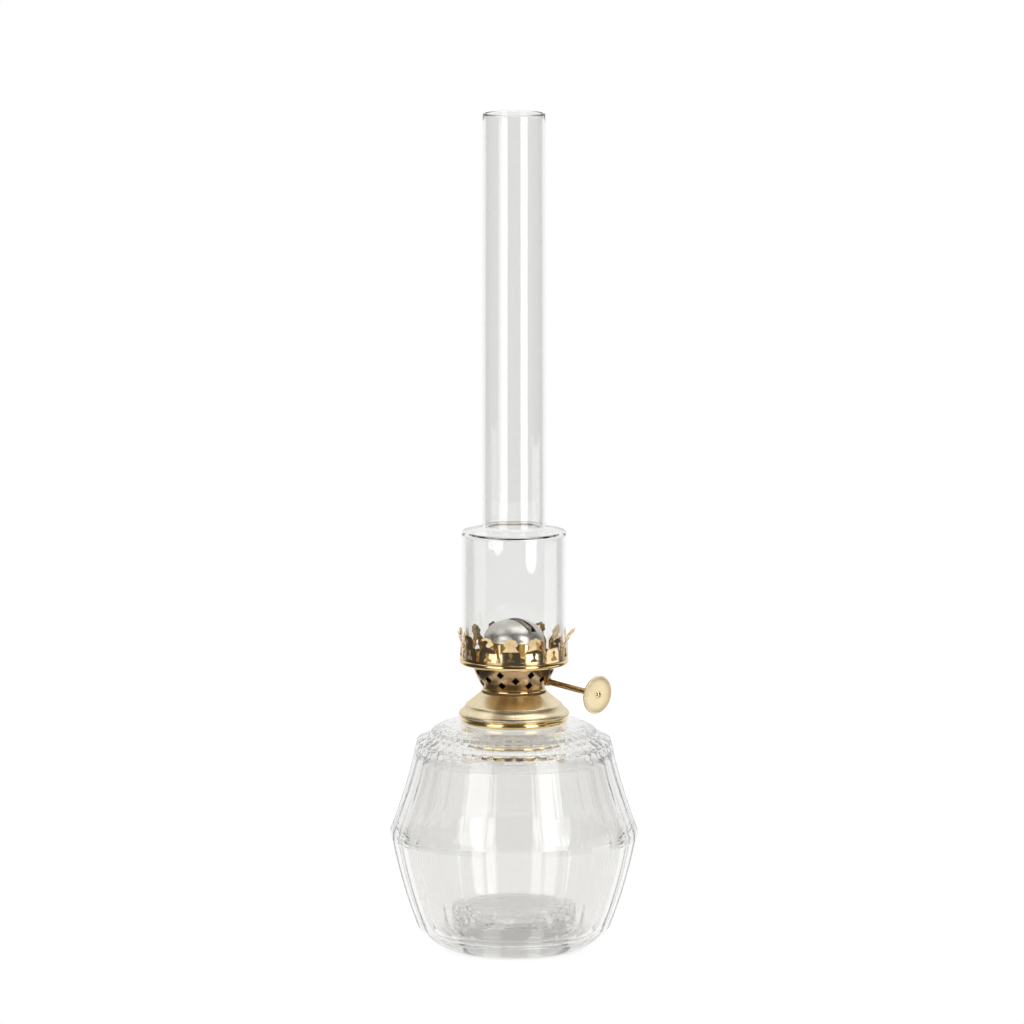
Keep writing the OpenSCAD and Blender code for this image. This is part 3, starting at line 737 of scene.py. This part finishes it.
def wick():
    """The flat cotton wick: an oval prism with a soft weave and a slightly frayed, arched top."""
    half, round_r = (WICK_W - WICK_T) / 2, WICK_T / 2
    loop = []
    for side, a0 in ((1, -90), (-1, 90)):
        loop += arc((side * half, 0), round_r, a0, a0 + 180, 9)
        loop += [(x, side * round_r) for x in np.linspace(half, -half, 48)[1:-1] * side]
    verts, faces, m = [], [], len(loop)
    for j in range(WICK_ROWS + 1):
        z = WICK_BOTTOM + (WICK_TOP - WICK_BOTTOM) * j / WICK_ROWS
        for k, (x, y) in enumerate(loop):
            pull = 1 - WEAVE_DEPTH * (0.5 + 0.5 * math.cos(k * math.pi) * math.cos(j * math.pi))
            fray = -FRAY * rng.random() if j == WICK_ROWS else 0
            arch = ARCH_Z + ARCH_RISE * math.sqrt(1 - (x / ARCH_HALF_W) ** 2)
            raised = (arch - WICK_TOP) * max(0.0, (z - 120) / (WICK_TOP - 120)) ** 2
            point = Vector((x * (1 - (1 - pull) * 0.1), y * pull, z + fray + raised))
            verts.append(tuple(wick_frame @ point))
    for j in range(WICK_ROWS):
        a, b = j * m, (j + 1) * m
        faces += [(a + k, a + (k + 1) % m, b + (k + 1) % m, b + k) for k in range(m)]
    faces += [tuple(range(m - 1, -1, -1)), tuple(WICK_ROWS * m + k for k in range(m))]
    return verts, faces


piece(finish_mesh("wick_woven", *wick(), sharp=60), "wick", cotton, "wick")

# ---------------------------------------------------------------- chimney

CHIMNEY_R, CHIMNEY_SHOULDER, FLUE_LOW, FLUE_HIGH, CHIMNEY_TOP, WALL = 21.75, 176.0, 13.2, 12.95, 349.6, 1.35
FLUE_START, FILLET, CORNER = CHIMNEY_SHOULDER + 2.6, 1.3, 1.4
lip = WALL / 2
outside = (
    arc((CHIMNEY_R - 0.5, SEAT_Z + 0.5), 0.5, -90, 0, 5)
    + [(CHIMNEY_R, z) for z in np.linspace(SEAT_Z + 4, CHIMNEY_SHOULDER - 6, 8)]
    + arc((CHIMNEY_R - CORNER, CHIMNEY_SHOULDER - CORNER), CORNER, 0, 80, 12)
    + arc((FLUE_LOW + FILLET, FLUE_START), FILLET, 260, 180, 12)
    + bowed((FLUE_LOW, FLUE_START + 4), (FLUE_HIGH, CHIMNEY_TOP - 4), 0, 12)
)
inside_line = (
    arc((FLUE_HIGH - lip, CHIMNEY_TOP - lip), lip, 0, 180, 12)
    + bowed((FLUE_HIGH - WALL, CHIMNEY_TOP - 4), (FLUE_LOW - WALL, FLUE_START + 4), 0, 12)
    + arc((FLUE_LOW + FILLET, FLUE_START), FILLET + WALL, 180, 260, 12)
    + arc((CHIMNEY_R - WALL - 0.8, CHIMNEY_SHOULDER - WALL - 0.8), 0.8, 80, 0, 8)
    + [(CHIMNEY_R - WALL, z) for z in np.linspace(CHIMNEY_SHOULDER - 6, SEAT_Z + 4, 8)]
    + arc((CHIMNEY_R - WALL + 0.4, SEAT_Z + 0.4), 0.4, 180, 270, 4)
)
piece(
    turned("chimney_tube", outside + inside_line, sharp=60, seg=256),
    "chimney", chimney_glass, "chimney",
)

# ---------------------------------------------------------------- stage, light and camera


def paper():
    """A pale floor that glows, so the lamp casts no dark shadow; right under the lamp it glows less, a
    painted contact shadow.
    """
    look = Look("pale_floor")
    look.set(Base_Color=look.mix(look.noise(6.0), (0.16, 0.16, 0.16), (0.18, 0.18, 0.18)), Roughness=0.9)
    look.set(Emission_Color=(1, 1, 1, 1), Specular_IOR_Level=0.0)
    # Painted contact shadow: the glow falls from 0.93 to 0.55 towards the point under the lamp
    look.set(Emission_Strength=look.spread(look.length(look.at), 0.55, 0.93, 0.020, 0.031))
    return look.mat


FLOOR_X, FLOOR_Y, FLOOR_Z = 0.15, (-0.3, 1.3), -0.0002
floor_me = bpy.data.meshes.new("floor")
corners = [(-FLOOR_X, FLOOR_Y[0]), (FLOOR_X, FLOOR_Y[0]), (FLOOR_X, FLOOR_Y[1]), (-FLOOR_X, FLOOR_Y[1])]
floor_me.from_pydata([(x, y, FLOOR_Z) for x, y in corners], [], [(0, 1, 2, 3)])
floor_me.materials.append(paper())
placed("floor", floor_me)


def softbox(name, bearing, distance, height, size, radiance, aim_height):
    """A rectangular area light that faces the lamp's axis at aim_height."""
    light = bpy.data.lights.new(name, "AREA")
    light.shape, light.size, light.size_y = "RECTANGLE", size[0], size[1]
    light.energy = radiance * math.pi * size[0] * size[1]
    ob = placed(name, light)
    a = math.radians(bearing)
    ob.location = (distance * math.sin(a), -distance * math.cos(a), height)
    aim = Vector((0, 0, aim_height)) - ob.location
    ob.rotation_euler = aim.to_track_quat("-Z", "Y").to_euler()


# name, bearing, distance, height, (width, length), radiance, aim_height
softbox("light_right", 39, 1.6, 0.715, (0.72, 1.6), 3.6, 0.715)
softbox("light_left", -42, 1.6, 0.74, (0.95, 1.6), 2.6, 0.74)
softbox("light_top_right", 90, 0.45, 1.9, (1.2, 1.3), 2.2, 0.1)
softbox("light_top_left", -90, 1.2, 1.9, (1.1, 1.2), 1.3, 0.1)
softbox("light_low_right", 91, 1.1, -0.16, (0.8, 0.45), 1.25, 0.1)


DIM, BRIGHT = 0.07, 0.97


def sky():
    """White behind and above the lamp, dim in front and at the sides; the camera itself sees plain white.

    A ray that has only passed through glass, and met no reflection, sees white in front and at the sides too,
    so the glass stays clear from there.
    """
    world = bpy.data.worlds.new("studio")
    bpy.context.scene.world = world
    world.use_nodes = True
    world.node_tree.nodes.clear()
    nodes = Nodes(world.node_tree)
    direction = nodes.node("ShaderNodeTexCoord").outputs["Generated"]
    path = nodes.node("ShaderNodeLightPath").outputs

    def facing(axis, dim_at, bright_at):
        """Brightness that grows as the direction turns towards an axis."""
        along = nodes.dot(direction, axis)
        return nodes.spread(along, DIM, BRIGHT, dim_at, bright_at, interpolation_type="SMOOTHSTEP")

    behind = facing((0, 1, 0.45), 0.38, 0.8)
    all_round = nodes.calc("MAXIMUM", behind, facing((0, -1, 0), 0.38, 0.8))
    for side in (-1, 1):
        all_round = nodes.calc("MAXIMUM", all_round, facing((side, 0, 0), 0.70, 0.90))
    # At the background Cycles counts one step more in Ray Depth, so a path with no reflection gives 1 here
    reflections = nodes.calc("SUBTRACT", path["Ray Depth"], path["Transmission Depth"])
    clear = nodes.calc("MULTIPLY", path["Is Transmission Ray"], nodes.calc("LESS_THAN", reflections, 1.5))
    strength = nodes.calc("MULTIPLY_ADD", clear, nodes.calc("SUBTRACT", all_round, behind), behind)
    seen = [
        nodes.node("ShaderNodeBackground", {"Color": (1, 1, 1, 1), "Strength": s}).outputs[0]
        for s in (strength, 1.0)
    ]
    mix = nodes.node("ShaderNodeMixShader", {0: path["Is Camera Ray"], 1: seen[0], 2: seen[1]})
    nodes.node("ShaderNodeOutputWorld", {0: mix.outputs[0]})


sky()
camera = bpy.data.cameras.new("camera")
camera.lens, camera.sensor_width = 235.1, 36.0
camera.clip_start, camera.clip_end = 0.1, 50
eye_at, aim_at = Vector((0, -2.750, 0.585)), Vector((-0.00083, 0, 0.1835))
cam = placed("camera", camera)
cam.location = eye_at
cam.rotation_euler = (aim_at - eye_at).to_track_quat("-Z", "Y").to_euler()
scene = bpy.context.scene
scene.camera = cam
scene.view_settings.view_transform = "Standard"
scene.cycles.max_bounces = 32
scene.cycles.transmission_bounces = 32
scene.cycles.glossy_bounces = 32
scene.cycles.diffuse_bounces = 3
scene.cycles.sample_clamp_indirect = 6.0
